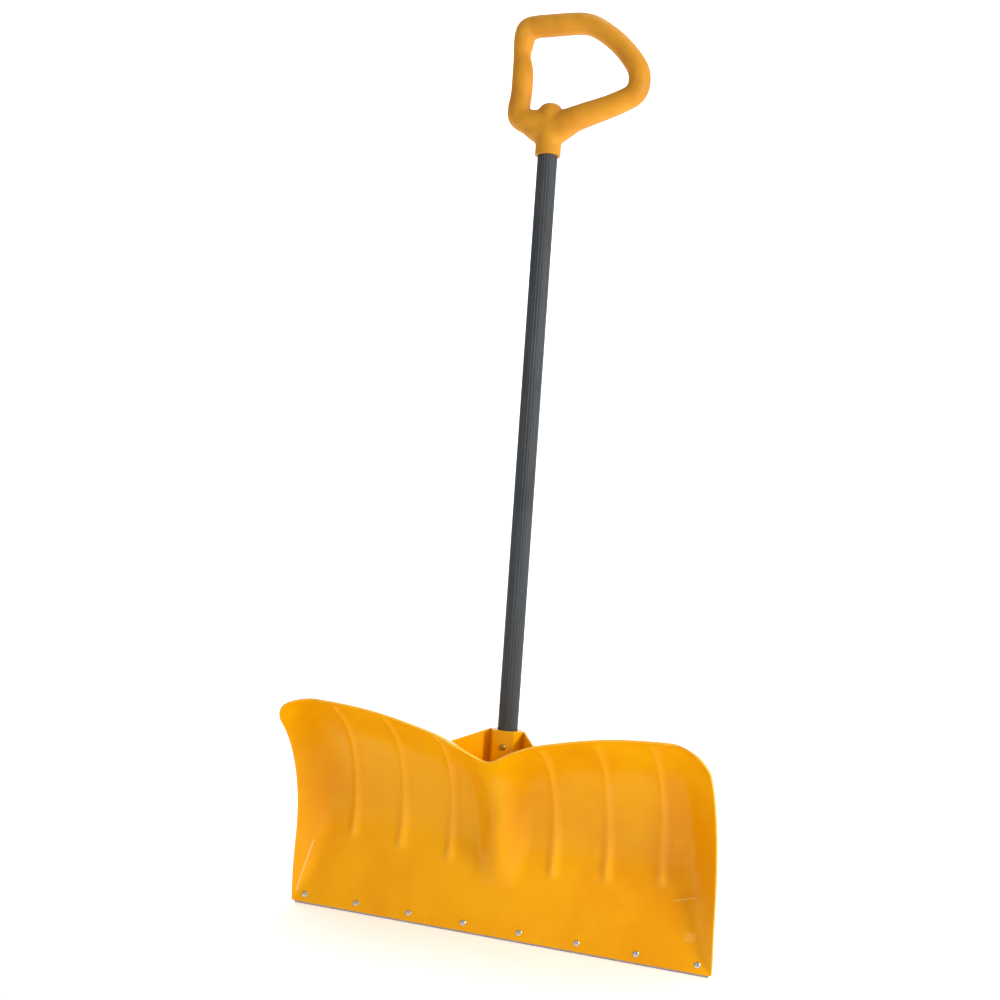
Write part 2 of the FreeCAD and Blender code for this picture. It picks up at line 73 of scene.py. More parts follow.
def named(name):
    """Name the object that an operator has just added, and put its place into its mesh."""
    piece = bpy.context.object
    piece.name = name
    piece.data.name = name
    only(piece)
    bpy.ops.object.transform_apply(location=True, rotation=True, scale=True)
    return piece


def edit(piece, mode="VERT"):
    only(piece)
    bpy.ops.object.mode_set(mode="EDIT")
    bpy.ops.mesh.select_mode(type=mode)
    bpy.ops.mesh.select_all(action="DESELECT")
    return bmesh.from_edit_mesh(piece.data)


def pick(piece, test, mode="VERT"):
    """Select the vertices, edges or faces whose middle passes a test, in edit mode."""
    mesh = edit(piece, mode)
    parts = {"VERT": mesh.verts, "EDGE": mesh.edges, "FACE": mesh.faces}[mode]
    for part in parts:
        if mode == "VERT":
            middle = part.co
        elif mode == "EDGE":
            middle = (part.verts[0].co + part.verts[1].co) / 2
        else:
            middle = part.calc_center_median()
        part.select_set(bool(test(middle)))
    mesh.select_flush_mode()
    bmesh.update_edit_mesh(piece.data)
    return mesh


def done(piece):
    bpy.ops.object.mode_set(mode="OBJECT")
    return piece


def apply(piece, kind, **settings):
    only(piece)
    modifier = piece.modifiers.new(kind.title(), kind)
    for key, setting in settings.items():
        setattr(modifier, key, setting)
    bpy.ops.object.modifier_apply(modifier=modifier.name)
    return piece


def combine(piece, tool, operation):
    """A boolean with a second mesh, which is then thrown away."""
    apply(piece, "BOOLEAN", object=tool, operation=operation, solver="EXACT")
    bpy.data.objects.remove(tool, do_unlink=True)
    return piece


def outward(piece):
    edit(piece)
    bpy.ops.mesh.select_all(action="SELECT")
    bpy.ops.mesh.remove_doubles(threshold=0.00001)
    bpy.ops.mesh.normals_make_consistent(inside=False)
    return done(piece)


def smooth(piece, degrees=30):
    only(piece)
    bpy.ops.object.shade_smooth_by_angle(angle=math.radians(degrees))
    return piece


def rod(name, radius, foot, head, y=AXIS_Y, sides=96):
    """An upright cylinder between two heights, used as a cutter or a core."""
    bpy.ops.mesh.primitive_cylinder_add(
        vertices=sides, radius=radius, depth=head - foot, location=(0, y, (foot + head) / 2)
    )
    return named(name)


def stack(name, rings, sides=48):
    """A turned piece: a disc grown upwards ring by ring, each ring a (radius, height)."""
    first_radius, first_height = rings[0]
    bpy.ops.mesh.primitive_circle_add(
        vertices=sides, radius=first_radius, fill_type="NGON", location=(0, 0, first_height)
    )
    piece = named(name)
    edit(piece, "FACE")
    bpy.ops.mesh.select_all(action="SELECT")
    for (radius, height), (next_radius, next_height) in zip(rings, rings[1:]):
        bpy.ops.mesh.extrude_region_move(
            TRANSFORM_OT_translate={"value": (0, 0, next_height - height)}
        )
        share = next_radius / radius
        bpy.ops.transform.resize(value=(share, share, 1), center_override=(0, 0, next_height))
    done(piece)
    return outward(piece)


def turn(piece, matrix):
    """Carry a finished mesh to its place, with its object left at the origin."""
    piece.data.transform(matrix)
    piece.data.update()
    return piece


def faces(piece):
    return len(piece.data.polygons)


# %% [markdown]
# ## The blade's shape
# The blade is injection moulded polypropylene: a flat flange that leans back, then a curl that
# rolls forward. Three ribs a side stiffen the sheet, a ridge in the middle makes room for the
# shaft behind it, and the two sides fold forward so that snow stays in. It could be a sculpted
# mesh, but each feature is a simple rule of the width and of the length along the section, so
# the rules are written out here as they are in the CAD source.

# %% Blade sizes and rules, in millimetres
WIDTH = 610
WALL = 3
LEAN = math.radians(17)
FLANGE = 96.5
STRIP_WALL = 1.5
STRIP_DROP = 3.5
CORNER_REACH = 62
CORNER_DROP = 95
CORNER_SWEEP = math.radians(80)
RIB_PITCH = 76
RIB_HALF = 11
RIB_HEIGHT = 5
RIB_FOOT = 84
RIB_STEP = 6
RIB_FADE = 18
RIB_CLEAR = 16
RIDGE_FOOT = 65
RIDGE_RISE = 100
RIDGE_HEIGHT = 33
WING_WIDTH = 49
WING_REACH = 76
SIDE_PULL = 6
CURL_RADIUS = 170
CURL_TIGHTER = 32
LIP_TURN = 93
BLADE_RIM = 0.8


def curl_radius(x):
    """The curl is tighter in the middle than at the sides."""
    return CURL_RADIUS - CURL_TIGHTER * math.exp(-((x / 130) ** 2))


def section(x, s):
    """A point at length s up the plain section, and the direction out of its front face."""
    straight = min(s, FLANGE)
    y = STRIP_DROP * math.tan(LEAN) - (WALL + STRIP_WALL / 2) / math.cos(LEAN)
    y += straight * math.sin(LEAN)
    z = STRIP_DROP + straight * math.cos(LEAN)
    tilt = -LEAN
    if s > FLANGE:
        radius = curl_radius(x)
        tilt = (s - FLANGE) / radius - LEAN
        y += radius * (math.cos(tilt) - math.cos(LEAN))
        z += radius * (math.sin(tilt) + math.sin(LEAN))
    return y, z, -math.cos(tilt), -math.sin(tilt)


def lip_length(x):
    """How long the section is: a little more turn in the middle, a dip there, round corners."""
    turned = LIP_TURN + 8 * math.exp(-((x / 95) ** 2)) - 14 * math.exp(-((x / 30) ** 2))
    length = FLANGE + curl_radius(x) * math.radians(turned)
    into_corner = abs(x) - (WIDTH / 2 - CORNER_REACH)
    if into_corner > 0:
        round_share = math.sqrt(max(1 - (into_corner / CORNER_REACH) ** 2, 0))
        length -= CORNER_DROP * (1 - round_share)
    return length


MIDDLE_LIP = lip_length(0)


def ease(share):
    share = min(max(share, 0.0), 1.0)
    return share * share * (3 - 2 * share)


def bump_shape(distance, half):
    return 0.0 if abs(distance) >= half else math.cos(math.pi * distance / half / 2) ** 2


def rib_height(x, s):
    height = 0.0
    for order in (1, 2, 3):
        fade_in = ease((s - RIB_FOOT - RIB_STEP * (order - 1)) / RIB_FADE)
        height += fade_in * bump_shape(abs(x) - RIB_PITCH * order, RIB_HALF)
    return RIB_HEIGHT * height * ease((lip_length(x) - RIB_CLEAR - s) / RIB_FADE)


def ridge_height(x, s):
    along = s - RIDGE_FOOT
    if along <= 0:
        return 0.0
    if along < RIDGE_RISE:
        share = math.sin(math.pi / 2 * along / RIDGE_RISE)
    else:
        share = 1 - 0.5 * (along - RIDGE_RISE) / (MIDDLE_LIP - RIDGE_FOOT - RIDGE_RISE)
    return RIDGE_HEIGHT * share * bump_shape(x, 42 + 28 * (s / MIDDLE_LIP) ** 3)


def wing_fold(x, s):
    """How far forward the sheet has folded, from nothing at the lower edge to most at the lip."""
    width = WING_WIDTH * (1 - math.exp(-s / 60)) + 0.5
    along = (abs(x) - WIDTH / 2 + width) / width
    if along <= 0:
        return 0.0
    share = along * along / (along + 0.35) * 1.35
    return WING_REACH * (1 - math.exp(-s / 180)) * share


def front_point(x, s):
    y, z, inward_y, inward_z = section(x, s)
    height = rib_height(x, s) + ridge_height(x, s)
    y -= wing_fold(x, s)
    pull = SIDE_PULL * (max(s, 0) / MIDDLE_LIP) ** 1.2
    return Vector((x * (1 - 2 * pull / WIDTH), y + inward_y * height, z + inward_z * height))


def wall_point(x, s, depth):
    """The point this deep in the wall, behind the front face."""
    across = front_point(x + 0.5, s) - front_point(x - 0.5, s)
    along = front_point(x, s + 0.5) - front_point(x, s - 0.5)
    return front_point(x, s) - across.cross(along).normalized() * depth


print("lip at the middle", tuple(round(c, 1) for c in front_point(0, MIDDLE_LIP)))

# %% [markdown]
# ## The blade's sheet
# A flat grid is the easiest start for a sheet: its rows become the length up the section and
# its columns the width, and each vertex goes to where the rules put it. The columns close up
# round the two upper corners. Solidify then gives the wall and a bevel rounds the moulded rim.

# %% Blade sheet
COLUMNS = 180
ROWS = 76
CORNER_SHARE = 0.12


def width_at(u):
    """The width x of a column, from -1 at one side to 1 at the other."""
    straight = WIDTH / 2 - CORNER_REACH
    inner = 1 - CORNER_SHARE
    if abs(u) <= inner:
        return straight * u / inner
    sweep = CORNER_SWEEP * (abs(u) - inner) / CORNER_SHARE
    return math.copysign(straight + CORNER_REACH * math.sin(sweep), u)


def blade_grid(name, depth):
    bpy.ops.object.select_all(action="DESELECT")
    bpy.ops.mesh.primitive_grid_add(x_subdivisions=COLUMNS, y_subdivisions=ROWS, size=2)
    grid = named(name)
    raised = grid.data.attributes.new("raised", "FLOAT", "POINT")
    for vertex in grid.data.vertices:
        x = width_at(vertex.co.x)
        s = lip_length(x) * (vertex.co.y + 1) / 2
        raised.data[vertex.index].value = rib_height(x, s) / RIB_HEIGHT
        vertex.co = wall_point(x, s, depth) * MM
    grid.data.update()
    return grid


blade = blade_grid("blade_shell", 0.0)
front_facing = sum(face.normal.y for face in blade.data.polygons)
if front_facing > 0:
    edit(blade, "FACE")
    bpy.ops.mesh.select_all(action="SELECT")
    bpy.ops.mesh.flip_normals()
    done(blade)
apply(blade, "SOLIDIFY", thickness=WALL * MM, offset=-1, use_even_offset=True)
apply(blade, "BEVEL", width=BLADE_RIM * MM, segments=3, limit_method="ANGLE", angle_limit=math.radians(55))
print("blade sheet:", faces(blade), "faces")

# %% [markdown]
# ## The shaft socket
# Behind the lip a six-sided boss holds the shaft, with a web on each side that carries the push
# into the sheet. It is made of a few solids joined together, and all that would stand in front
# of the sheet is trimmed away by the space behind the sheet's own wall. The cuts leave slivers
# where the foot meets the ridge, so faces with many sides are split and the slivers closed up.

# %% Shaft socket
SOCKET_HEAD = SHAFT_FOOT + 108 * MM
BOSS_FOOT = SOCKET_HEAD - 86 * MM
SOCKET_SKIN = 17.15 * MM
BORE = 14.15 * MM
BOSS_FLAT = 15 * MM
BOSS_POINT = 24.6 * MM
BOSS_EDGE = 0.8 * MM
FOOT_THICK = 6 * MM
CLEAR_OF_TOP = 4 * MM
TRIM_DEPTH = 0.26
WEB_RUN = (38 * MM, 60 * MM)
WEB_ROOT = 3 * MM
WEB_FALL = 15 * MM
WEB_EDGE = 0.6 * MM
SLIVER = 0.02 * MM

bpy.ops.object.select_all(action="DESELECT")
bpy.ops.mesh.primitive_cylinder_add(
    vertices=6,
    radius=1,
    depth=SOCKET_HEAD - BOSS_FOOT,
    location=(0, 0, (SOCKET_HEAD + BOSS_FOOT) / 2),
    rotation=(0, 0, math.radians(90)),
)
boss = named("socket_boss")
pick(boss, lambda at: abs(at.y) > 0.1)
bpy.ops.transform.resize(value=(BOSS_FLAT / BOSS_POINT * 2, 1, 1), center_override=(0, 0, 0))
bpy.ops.mesh.select_all(action="SELECT")
bpy.ops.transform.resize(
    value=(BOSS_POINT, SOCKET_SKIN / math.sin(math.radians(60)), 1), center_override=(0, 0, 0)
)
bpy.ops.transform.translate(value=(0, AXIS_Y, 0))
done(boss)
pick(boss, lambda at: at.z > BOSS_FOOT + 0.001, "EDGE")
bpy.ops.mesh.bevel(offset=BOSS_EDGE, segments=3, affect="EDGES")
done(boss)
outward(boss)


def web(side):
    """An upright wall from the boss to the back of the lip, lower at its far end."""
    run_x, run_y = WEB_RUN
    run = math.hypot(run_x, run_y)
    turned = math.pi + side * math.atan2(run_x, run_y)
    bpy.ops.object.select_all(action="DESELECT")
    bpy.ops.mesh.primitive_cube_add(size=1, location=(0, 0, 0))
    wall = named("web")
    edit(wall)
    bpy.ops.mesh.select_all(action="SELECT")
    bpy.ops.transform.resize(value=(WALL * MM, run + WEB_ROOT, SOCKET_HEAD - BOSS_FOOT))
    bpy.ops.transform.translate(value=(0, (run - WEB_ROOT) / 2, (SOCKET_HEAD + BOSS_FOOT) / 2))
    done(wall)
    pick(wall, lambda at: at.y > run / 2 and at.z > (SOCKET_HEAD + BOSS_FOOT) / 2)
    bpy.ops.transform.translate(value=(0, 0, -WEB_FALL))
    done(wall)
    pick(wall, lambda at: at.z > SOCKET_HEAD - 20 * MM, "EDGE")
    bpy.ops.mesh.bevel(offset=WEB_EDGE, segments=2, affect="EDGES")
    done(wall)
    place = Matrix.Translation((side * BOSS_POINT, AXIS_Y, 0)) @ Matrix.Rotation(turned, 4, "Z")
    return outward(turn(wall, place))


def unshared_edges(piece):
    """How many edges don't join exactly two faces. A closed mesh has none."""
    mesh = edit(piece)
    count = sum(len(edge.link_faces) != 2 for edge in mesh.edges)
    done(piece)
    return count


foot = rod("socket_foot", SOCKET_SKIN, SHAFT_FOOT - FOOT_THICK, BOSS_FOOT + 1 * MM)
for wall in (foot, web(-1), web(1)):
    combine(boss, wall, "UNION")

behind = blade_grid("space_behind", WALL / 2)
lip = front_point(0, MIDDLE_LIP) * MM
slope = Vector((0, AXIS_Y - SOCKET_SKIN - lip.y, SOCKET_HEAD + CLEAR_OF_TOP - lip.z)).normalized()
edit(behind, "FACE")
bpy.ops.mesh.select_all(action="SELECT")
bpy.ops.mesh.extrude_region_move(TRANSFORM_OT_translate={"value": tuple(slope * TRIM_DEPTH)})
done(behind)
outward(behind)
combine(boss, behind, "INTERSECT")
combine(blade, boss, "UNION")
combine(blade, rod("socket_bore", BORE, SHAFT_FOOT, SOCKET_HEAD + 10 * MM), "DIFFERENCE")
mesh = edit(blade, "FACE")
for face in mesh.faces:
    face.select_set(len(face.verts) > 4)
bmesh.update_edit_mesh(blade.data)
bpy.ops.mesh.quads_convert_to_tris(quad_method="BEAUTY", ngon_method="BEAUTY")
bpy.ops.mesh.select_all(action="SELECT")
bpy.ops.mesh.remove_doubles(threshold=SLIVER)
bpy.ops.mesh.dissolve_degenerate(threshold=SLIVER)
bpy.ops.mesh.delete_loose()
done(blade)
print("blade with its socket:", faces(blade), "faces,", unshared_edges(blade), "unshared edges")
on_ribs = sum(item.value > 0.5 for item in blade.data.attributes["raised"].data)
print("vertices on the ribs:", on_ribs)

# %% [markdown]
# ## Marking the edges
# The material paints the rim paler as a highlight and makes it a little rougher, as it wears
# first there. It needs to know how near the rim each point is, so that distance is stored on the
# vertices as an attribute.


# %% Edge highlight and wear attribute
def mark(piece, attribute, measure):
    made = piece.data.attributes.new(attribute, "FLOAT", "POINT")
    made.data.foreach_set("value", [measure(vertex.co) for vertex in piece.data.vertices])


RIM_STEPS = 1200
SIDE_STEPS = 500
RIM_WIDTH = 3.2 * MM


def rim_points():
    """Points along the lip and down both sides, in the middle of the wall."""
    for step in range(RIM_STEPS + 1):
        x = width_at(2 * step / RIM_STEPS - 1)
        yield wall_point(x, lip_length(x), WALL / 2) * MM
    for side in (-1, 1):
        x = width_at(side)
        for step in range(SIDE_STEPS + 1):
            yield wall_point(x, lip_length(x) * step / SIDE_STEPS, WALL / 2) * MM


rim = kdtree.KDTree(RIM_STEPS + 1 + 2 * (SIDE_STEPS + 1))
for index, point in enumerate(rim_points()):
    rim.insert(point, index)
rim.balance()


def rim_nearness(at):
    return max(0.0, 1 - rim.find(at)[2] / RIM_WIDTH)


mark(blade, "rim", rim_nearness)
smooth(blade, 35)
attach(blade, "root")
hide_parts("blade")

# %% [markdown]
# ## Wear strip
# A strip of galvanised steel runs along the lower edge and takes the scraping. It starts as a
# cube of its size, its corners are rounded, its edges broken, and it leans with the flange.

# %% Wear strip
STRIP_LENGTH = (WIDTH - 8) * MM
STRIP_HEIGHT = 26.5 * MM
STRIP_CORNER = 2.5 * MM
STRIP_EDGE = 0.3 * MM
bpy.ops.object.select_all(action="DESELECT")
bpy.ops.mesh.primitive_cube_add(size=1)
strip = named("wear_strip_steel")
edit(strip)
bpy.ops.mesh.select_all(action="SELECT")
bpy.ops.transform.resize(value=(STRIP_LENGTH, STRIP_WALL * MM, STRIP_HEIGHT))
done(strip)
at_end = STRIP_LENGTH * 0.49
pick(strip, lambda at: abs(at.x) > at_end and abs(at.y) < STRIP_WALL * MM * 0.01, "EDGE")
bpy.ops.mesh.bevel(offset=STRIP_CORNER, segments=5, affect="EDGES")
done(strip)
apply(strip, "BEVEL", width=STRIP_EDGE, segments=2, limit_method="ANGLE", angle_limit=math.radians(40))
strip_low, strip_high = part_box("wear_strip")
strip_middle = (strip_low + strip_high) / 2
turn(strip, Matrix.Translation(strip_middle) @ Matrix.Rotation(-LEAN, 4, "X"))
outward(strip)
smooth(strip, 30)
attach(strip, "root")
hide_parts("wear_strip")
print("wear strip:", faces(strip), "faces")

# %% [markdown]
# ## Rivets
# Eight domed steel rivets hold the strip. One is turned ring by ring, with its rolled rim and
# its flattened tail behind, and each of the others is a copy with a mesh of its own.

# %% Rivets
RIVET_COUNT = 8
RIVET_INSET = 20
RIVET_HEIGHT = 11

rivet = stack(
    "rivet_1",
    [
        (3.3 * MM, -5.6 * MM),
        (3.8 * MM, -5.2 * MM),
        (3.8 * MM, -4.6 * MM),
        (2.4 * MM, -4.5 * MM),
        (2.4 * MM, 0.0),
        (4.0 * MM, 0.02 * MM),
        (4.2 * MM, 0.2 * MM),
        (4.15 * MM, 0.45 * MM),
        (3.9 * MM, 0.7 * MM),
        (3.3 * MM, 1.12 * MM),
        (2.5 * MM, 1.46 * MM),
        (1.5 * MM, 1.7 * MM),
        (0.6 * MM, 1.78 * MM),
    ],
    sides=32,
)
rivet_y, rivet_z = section(0, RIVET_HEIGHT)[:2]
first = RIVET_INSET - WIDTH / 2
rivets = [rivet]
for number in range(2, RIVET_COUNT + 1):
    piece = rivet.copy()
    piece.data = rivet.data.copy()
    bpy.context.scene.collection.objects.link(piece)
    piece.name = f"rivet_{number}"
    rivets.append(piece)
for place, piece in enumerate(rivets):
    at = Vector((first - 2 * first / (RIVET_COUNT - 1) * place, rivet_y, rivet_z)) * MM
    turn(piece, Matrix.Translation(at) @ Matrix.Rotation(math.radians(90) - LEAN, 4, "X"))
    smooth(piece, 40)
    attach(piece, "root")
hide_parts("strip_rivets")
print("rivets:", len(rivets), "of", faces(rivet), "faces")

# %% [markdown]
# ## Grip
# The grip is a lopsided loop moulded in one with its collar: a short upright leg with a finger
# swell, a flat top, a long sloping arm and a low return. Its thickness changes all the way
# round, so it starts as a path whose points carry their own radius. The path becomes a tube,
# the tube joins a turned post, and a voxel remesh with smoothing blends them as a mould does.

# %% Grip loop and post
LOOP = [  # (x, z, radius) of the loop's middle line
    (6, 1130, 17.0),
    (-12, 1131, 17.9),
    (-30, 1132.5, 17.4),
    (-46, 1139, 16.8),
    (-47.5, 1153, 16.0),
    (-44.8, 1169, 15.2),
    (-44.3, 1186, 15.4),
    (-44.6, 1202, 15.3),
    (-46.0, 1216, 14.0),
    (-48.4, 1228, 12.0),
    (-46.8, 1241, 14.4),
    (-46.0, 1254, 15.2),
    (-43.0, 1265.5, 15.5),
    (-30, 1267.6, 15.6),
    (-10, 1268, 15.6),
    (15, 1268.4, 15.5),
    (36, 1268.6, 15.1),
    (52, 1265.5, 14.6),
    (68, 1256.5, 14.3),
    (88.5, 1241, 14.3),
    (103, 1226, 14.4),
    (115, 1211, 14.8),
    (123.5, 1196, 15.2),
    (124.5, 1178, 15.5),
    (119, 1165.5, 15.6),
    (104, 1158, 15.6),
    (82, 1149.5, 15.9),
    (60, 1143, 16.8),
    (40, 1136.5, 17.6),
    (20, 1130, 17.9),
    (0, 1126, 17.0),
]
FLARE = [  # the web of plastic that fills the two corners under the arms
    (-40, 1136, 12.5),
    (-25, 1124.5, 15.6),
    (-8, 1116, 17.6),
    (8, 1116, 17.6),
    (28, 1127, 15.8),
    (50, 1139, 12.5),
]
COLLAR_FOOT = SHAFT_HEAD - 48 * MM
COLLAR_SKIN = 18.15 * MM
BELOW = 6 * MM
VOXEL = 1.25 * MM
BLENDING = 60


def tube(name, route):
    """A tube along a path in the grip's own plane, as thick as each point says."""
    bpy.ops.object.select_all(action="DESELECT")
    bpy.ops.curve.primitive_nurbs_path_add()
    path = bpy.context.object
    path.location = (0, 0, 0)
    path.data.splines.clear()
    spline = path.data.splines.new("NURBS")
    spline.points.add(len(route) - 1)
    for point, (x, z, radius) in zip(spline.points, route):
        point.co = (x * MM, AXIS_Y, z * MM, 1)
        point.radius = radius
    spline.order_u = 3
    spline.use_endpoint_u = True
    spline.resolution_u = 10
    path.data.bevel_depth = 1 * MM
    path.data.bevel_resolution = 14
    path.data.use_fill_caps = True
    only(path)
    bpy.ops.object.convert(target="MESH")
    return outward(named(name))


grip = tube("grip_loop", LOOP)
flare = tube("grip_flare", FLARE)
post = stack(
    "grip_post",
    [
        (COLLAR_SKIN, COLLAR_FOOT - BELOW),
        (COLLAR_SKIN, COLLAR_FOOT + 24 * MM),
        (18 * MM, COLLAR_FOOT + 40 * MM),
        (17.8 * MM, COLLAR_FOOT + 54 * MM),
        (17.2 * MM, COLLAR_FOOT + 63 * MM),
        (15.2 * MM, COLLAR_FOOT + 68.5 * MM),
        (10.5 * MM, COLLAR_FOOT + 72.4 * MM),
        (3 * MM, COLLAR_FOOT + 74 * MM),
    ],
    sides=96,
)
turn(post, Matrix.Translation((0, AXIS_Y, 0)))
only(grip)
post.select_set(True)
flare.select_set(True)
bpy.ops.object.join()
apply(grip, "REMESH", mode="VOXEL", voxel_size=VOXEL, adaptivity=0.0)
apply(grip, "SMOOTH", factor=0.5, iterations=BLENDING)
print("grip blended:", faces(grip), "faces")

# %% [markdown]
# ## Collar rim and bore
# Smoothing softens every edge, so the collar was made too long. It is cut square at its real
# height, its outer rim is chamfered, and the bore for the shaft is cut last and stays crisp.

# %% Collar
CHAMFER = 0.7 * MM
edit(grip)
bpy.ops.mesh.select_all(action="SELECT")
bpy.ops.mesh.bisect(
    plane_co=(0, AXIS_Y, COLLAR_FOOT + CHAMFER), plane_no=(0, 0, 1), clear_inner=True, use_fill=True
)
bpy.ops.mesh.select_mode(type="FACE")
bpy.ops.mesh.extrude_region_move(TRANSFORM_OT_translate={"value": (0, 0, -CHAMFER)})
share = 1 - CHAMFER / COLLAR_SKIN
bpy.ops.transform.resize(value=(share, share, 1), center_override=(0, AXIS_Y, COLLAR_FOOT))
done(grip)
outward(grip)
combine(grip, rod("grip_bore", BORE, COLLAR_FOOT - 5 * MM, SHAFT_HEAD), "DIFFERENCE")
smooth(grip, 40)
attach(grip, "root")
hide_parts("grip")
print("grip:", faces(grip), "faces")

# %% [markdown]
# ## Screws
# A pan-head screw keeps the shaft in the socket, and another keeps the grip on the shaft. The
# head is turned, then a cross recess is cut with two crossed bars.

# %% Screws
screw = stack(
    "socket_screw_head",
    [
        (2.3 * MM, -14 * MM),
        (2.3 * MM, 0.0),
        (4.1 * MM, 0.02 * MM),
        (4.4 * MM, 0.3 * MM),
        (4.3 * MM, 0.8 * MM),
        (3.9 * MM, 1.5 * MM),
        (3.1 * MM, 2.1 * MM),
        (2.0 * MM, 2.45 * MM),
        (0.8 * MM, 2.55 * MM),
    ],
)
for angle in (0, 90):
    bpy.ops.object.select_all(action="DESELECT")
    bpy.ops.mesh.primitive_cube_add(size=1)
    bar = named("recess_bar")
    edit(bar)
    bpy.ops.mesh.select_all(action="SELECT")
    bpy.ops.transform.resize(value=(4.6 * MM, 0.9 * MM, 3 * MM))
    done(bar)
    lift = Matrix.Translation((0, 0, 2.7 * MM))
    turn(bar, lift @ Matrix.Rotation(math.radians(angle), 4, "Z"))
    combine(screw, bar, "DIFFERENCE")
grip_screw = screw.copy()
grip_screw.data = screw.data.copy()
bpy.context.scene.collection.objects.link(grip_screw)
grip_screw.name = "grip_screw_head"
for piece, side, skin, height, node in (
    (screw, -1, SOCKET_SKIN, SOCKET_HEAD - 22 * MM, "socket_screw"),
    (grip_screw, 1, COLLAR_SKIN, COLLAR_FOOT + 16 * MM, "grip_screw"),
):
    at = Vector((0, AXIS_Y + side * skin, height))
    turn(piece, Matrix.Translation(at) @ Matrix.Rotation(math.radians(-90 * side), 4, "X"))
    smooth(piece, 35)
    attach(piece, "root")
    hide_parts(node)

# %% [markdown]
# ## Writing finishes as arithmetic
# A shader is a tree of nodes. A small class wraps a socket so that sums read as sums: adding two
# signals adds a Math node. Every other node comes from one method of the finish it belongs to.


# %% Shader arithmetic
class Signal:
    """A shader socket that Python arithmetic can use."""

    def __init__(self, finish, socket):
        self.finish = finish
        self.socket = socket

    def math(self, operation, first, second=0.0):
        return self.finish.node("ShaderNodeMath", {"operation": operation}, {0: first, 1: second})

    def __add__(self, other):
        return self.math("ADD", self, other)

    __radd__ = __add__

    def __sub__(self, other):
        return self.math("SUBTRACT", self, other)

    def __rsub__(self, other):
        return self.math("SUBTRACT", other, self)

    def __mul__(self, other):
        return self.math("MULTIPLY", self, other)

    __rmul__ = __mul__

    def absolute(self):
        return self.math("ABSOLUTE", self)


class Finish:
    """A material and its nodes."""

    def __init__(self, name, **constants):
        self.material = bpy.data.materials.new(name)
        self.material.use_nodes = True
        self.tree = self.material.node_tree
        self.shader = self.tree.nodes["Principled BSDF"]
        for socket, number in constants.items():
            self.shader.inputs[socket.replace("_", " ")].default_value = number

    def feed(self, socket, value):
        if isinstance(value, Signal):
            self.tree.links.new(value.socket, socket)
        else:
            socket.default_value = value

    def node(self, kind, settings=None, inputs=None, out=0):
        made = self.tree.nodes.new(kind)
        for key, setting in (settings or {}).items():
            setattr(made, key, setting)
        for key, value in (inputs or {}).items():
            self.feed(made.inputs[key], value)
        return Signal(self, made.outputs[out])

    def place(self, stretch=(1, 1, 1)):
        at = self.node("ShaderNodeTexCoord", out="Object")
        return self.node("ShaderNodeMapping", {}, {"Vector": at, "Scale": stretch})

    def noise(self, scale, detail=3.0, stretch=(1, 1, 1)):
        inputs = {"Vector": self.place(stretch), "Scale": scale, "Detail": detail}
        return self.node("ShaderNodeTexNoise", {}, inputs)

    def cells(self, scale):
        inputs = {"Vector": self.place(), "Scale": scale}
        return self.node("ShaderNodeTexVoronoi", {"feature": "DISTANCE_TO_EDGE"}, inputs)

    def axis(self, letter):
        at = self.node("ShaderNodeTexCoord", out="Object")
        return self.node("ShaderNodeSeparateXYZ", {}, {0: at}, out=letter)

    def attribute(self, name):
        return self.node("ShaderNodeAttribute", {"attribute_name": name}, out="Fac")

    def between(self, signal, low, high):
        """0 at the low number, 1 at the high one, eased between them."""
        inputs = {"Value": signal, "From Min": low, "From Max": high}
        return self.node("ShaderNodeMapRange", {"interpolation_type": "SMOOTHSTEP"}, inputs)

    def mix(self, first, second, share):
        inputs = {0: share, 6: first, 7: second}
        return self.node("ShaderNodeMix", {"data_type": "RGBA"}, inputs, out=2)

    def bump(self, height, strength, distance=0.001, normal=None):
        inputs = {"Height": height, "Strength": strength, "Distance": distance}
        if normal:
            inputs["Normal"] = normal
        return self.node("ShaderNodeBump", {}, inputs)

    def show(self, **outputs):
        for socket, value in outputs.items():
            self.feed(self.shader.inputs[socket.replace("_", " ")], value)

    def on(self, *pieces):
        for piece in pieces:
            piece.data.materials.clear()
            piece.data.materials.append(self.material)
            for face in piece.data.polygons:
                face.material_index = 0


def shade(code):
    """A colour written as six hex digits, as the linear numbers a shader wants."""
    parts = [int(code[at:at + 2], 16) / 255 for at in (0, 2, 4)]
    return tuple(c / 12.92 if c < 0.04045 else ((c + 0.055) / 1.055) ** 2.4 for c in parts) + (1,)


# %% [markdown]
# ## Blade plastic
# Glossy orange-yellow polypropylene. The moulded skin is never quite flat, so a wide slow noise
# bends its reflections and a fine one gives the orange-peel. The colour drifts a little with
# the flow of the plastic, fine scuffs run up the flange where snow slides, the rim and the ribs
# are painted paler as highlights, and the lower edge is dulled by grit. A thin pale line of
# painted highlight marks the fold at each lower corner, and a small square gate mark sits low on
# the right.

# %% Blade plastic
plastic = Finish("blade plastic", Specular_IOR_Level=0.15, Coat_Roughness=0.08)
flow = plastic.noise(7, 4, stretch=(1, 1, 0.5))
cloud = plastic.noise(26, 5)
scuffs = plastic.between(plastic.noise(24, 6, stretch=(9, 9, 0.35)), 0.58, 0.72)
low = 1 - plastic.between(plastic.axis("Z"), 0.0, 0.09)
rim_highlight_and_wear = plastic.attribute("rim")
colour = plastic.mix(shade("F0AC00"), shade("E89B00"), plastic.between(flow, 0.35, 0.68))
colour = plastic.mix(colour, shade("F4B20A"), plastic.between(cloud, 0.5, 0.75) * 0.35)
# Painted highlight: the rim is made paler (FFC65C) along the lip and down the sides.
colour = plastic.mix(colour, shade("FFC65C"), plastic.between(rim_highlight_and_wear, 0.5, 0.9) * 0.45)
colour = plastic.mix(colour, shade("F3B95A"), scuffs * low * 0.08)
grit = plastic.between(plastic.noise(420, 3), 0.55, 0.7) * low
colour = plastic.mix(colour, shade("C98A2A"), grit * 0.03)
